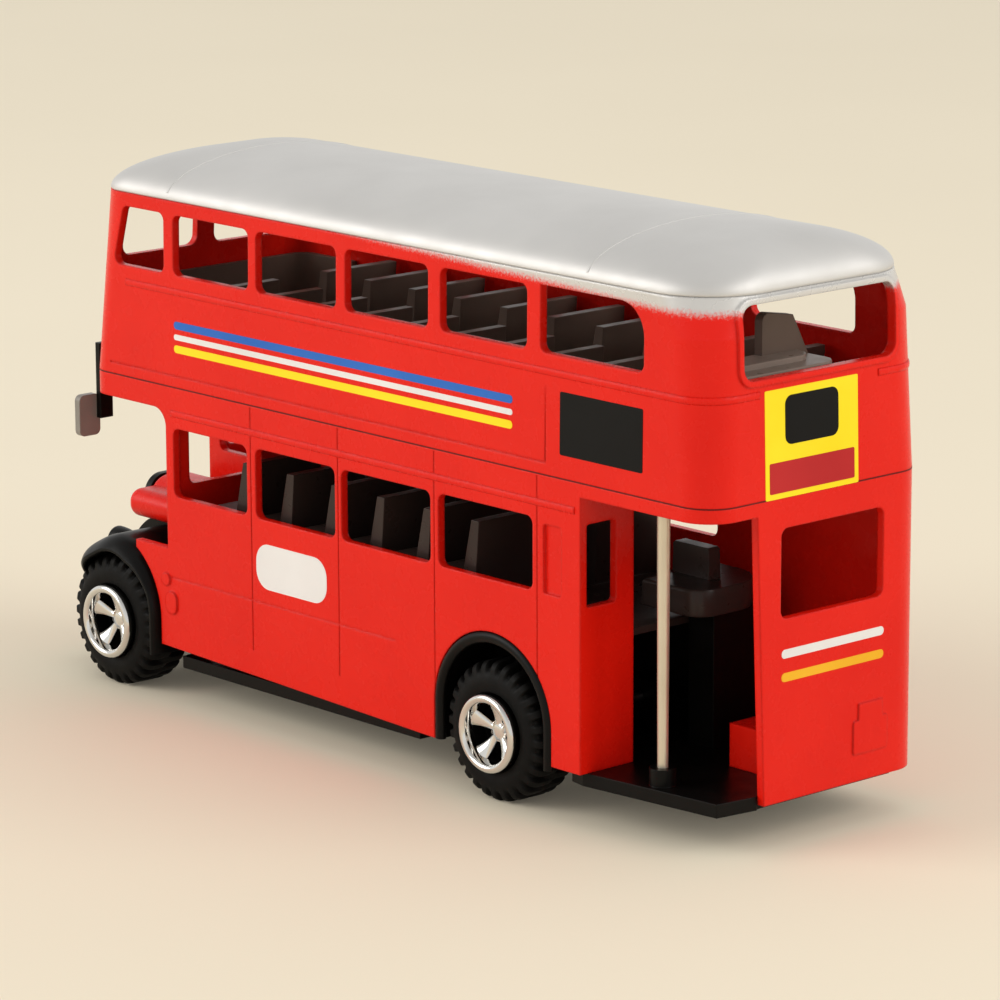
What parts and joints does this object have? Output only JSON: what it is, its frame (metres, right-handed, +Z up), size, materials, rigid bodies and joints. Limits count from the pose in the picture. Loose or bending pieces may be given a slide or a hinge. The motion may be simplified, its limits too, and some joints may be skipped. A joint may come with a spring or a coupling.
{
  "type": "toy double decker bus",
  "caption": "Toy half-cab double decker bus with an open rear platform and pole, unglazed windows, moulded seats, a domed roof and wheels on free-turning axles.",
  "frame": {"origin": "floor level under the middle of the bounding box", "axes": "+X forward, +Y to the nearside (left, the platform side), +Z up"},
  "size_m": [0.1888, 0.0582, 0.1067],
  "materials": {
    "red_plastic": "glossy bright red moulding",
    "silver_roof": "silver metallic paint on plastic",
    "black_plastic": "satin black moulding",
    "seat_plastic": "satin dark brown moulding",
    "chrome": "bright plated",
    "mirror_silver": "bright plated with a flat mirror face",
    "axle_steel": "plain steel rod",
    "tyre_rubber": "matte black"
  },
  "bodies": {
    "bus_body": {"chassis": "black_plastic", "lower_body": "red_plastic", "upper_body": "red_plastic", "roof": "silver_roof", "bonnet": "red_plastic", "grille": "black_plastic", "bumper": "black_plastic", "wing_left": "black_plastic", "wing_right": "black_plastic", "rear_liner_left": "black_plastic", "rear_liner_right": "black_plastic", "stair_block": "black_plastic", "landing_seat": "seat_plastic", "lower_seats": "seat_plastic", "upper_seats": "seat_plastic", "pole": "chrome", "headlamp_left": "black_plastic", "headlamp_right": "black_plastic", "mirror_arm_left": "black_plastic", "mirror_arm_right": "black_plastic", "mirror_head_left": "mirror_silver", "mirror_head_right": "mirror_silver"},
    "front_wheels": {"front_axle": "axle_steel", "hub_front_left": "chrome", "hub_front_right": "chrome", "tyre_front_left": "tyre_rubber", "tyre_front_right": "tyre_rubber"},
    "rear_wheels": {"rear_axle": "axle_steel", "hub_rear_left": "chrome", "hub_rear_right": "chrome", "tyre_rear_left": "tyre_rubber", "tyre_rear_right": "tyre_rubber"}
  },
  "joints": [
    {"name": "front_axle_spin", "type": "hinge", "parent": "bus_body", "child": "front_wheels", "pos_m": [0.0727, 0, 0.013], "axis": [0, 1, 0], "continuous": true},
    {"name": "rear_axle_spin", "type": "hinge", "parent": "bus_body", "child": "rear_wheels", "pos_m": [-0.0389, 0, 0.013], "axis": [0, 1, 0], "continuous": true}
  ]
}
